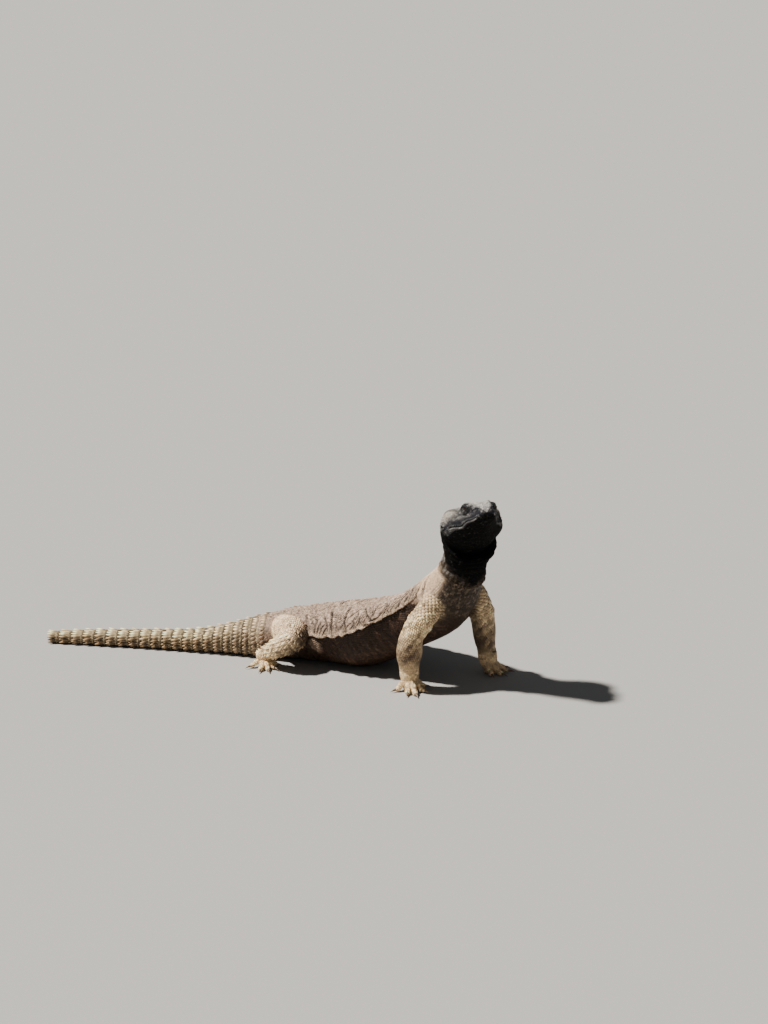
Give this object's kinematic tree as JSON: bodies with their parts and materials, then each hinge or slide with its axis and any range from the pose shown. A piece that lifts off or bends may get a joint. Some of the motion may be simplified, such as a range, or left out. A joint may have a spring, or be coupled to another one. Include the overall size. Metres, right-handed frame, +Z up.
{
  "type": "uromastyx",
  "caption": "Spiny-tailed lizard resting on its belly with its forelegs straight and its head raised, with a thick ringed tail and loose folded flanks",
  "frame": {"origin": "centre of the bounding box's footprint, on the floor", "axes": "+X towards the head end, +Y to the animal's left, +Z up"},
  "size_m": [0.521, 0.25, 0.2229],
  "materials": {
    "dark_head_skin": "dry, finely scaled, near black",
    "back_skin": "dry, loose, finely scaled",
    "leg_skin": "dry, scaled, pale",
    "tail_scales": "hard keeled spiny scales",
    "horn": "dark horn",
    "eye": "wet and glossy"
  },
  "bodies": {
    "root": {"head": "dark_head_skin", "neck": "dark_head_skin", "torso": "back_skin", "eye_left": "eye", "eye_right": "eye", "tail_1": "tail_scales", "tail_2": "tail_scales", "tail_3": "tail_scales", "tail_4": "tail_scales", "foreleg_left": "leg_skin", "foreleg_right": "leg_skin", "hindleg_left": "leg_skin", "hindleg_right": "leg_skin", "forefoot_left": "leg_skin", "forefoot_left_claw_1": "horn", "forefoot_left_claw_2": "horn", "forefoot_left_claw_3": "horn", "forefoot_left_claw_4": "horn", "forefoot_left_claw_5": "horn", "forefoot_right": "leg_skin", "forefoot_right_claw_1": "horn", "forefoot_right_claw_2": "horn", "forefoot_right_claw_3": "horn", "forefoot_right_claw_4": "horn", "forefoot_right_claw_5": "horn", "hindfoot_left": "leg_skin", "hindfoot_left_claw_1": "horn", "hindfoot_left_claw_2": "horn", "hindfoot_left_claw_3": "horn", "hindfoot_left_claw_4": "horn", "hindfoot_left_claw_5": "horn", "hindfoot_right": "leg_skin", "hindfoot_right_claw_1": "horn", "hindfoot_right_claw_2": "horn", "hindfoot_right_claw_3": "horn", "hindfoot_right_claw_4": "horn", "hindfoot_right_claw_5": "horn"}
  },
  "joints": []
}
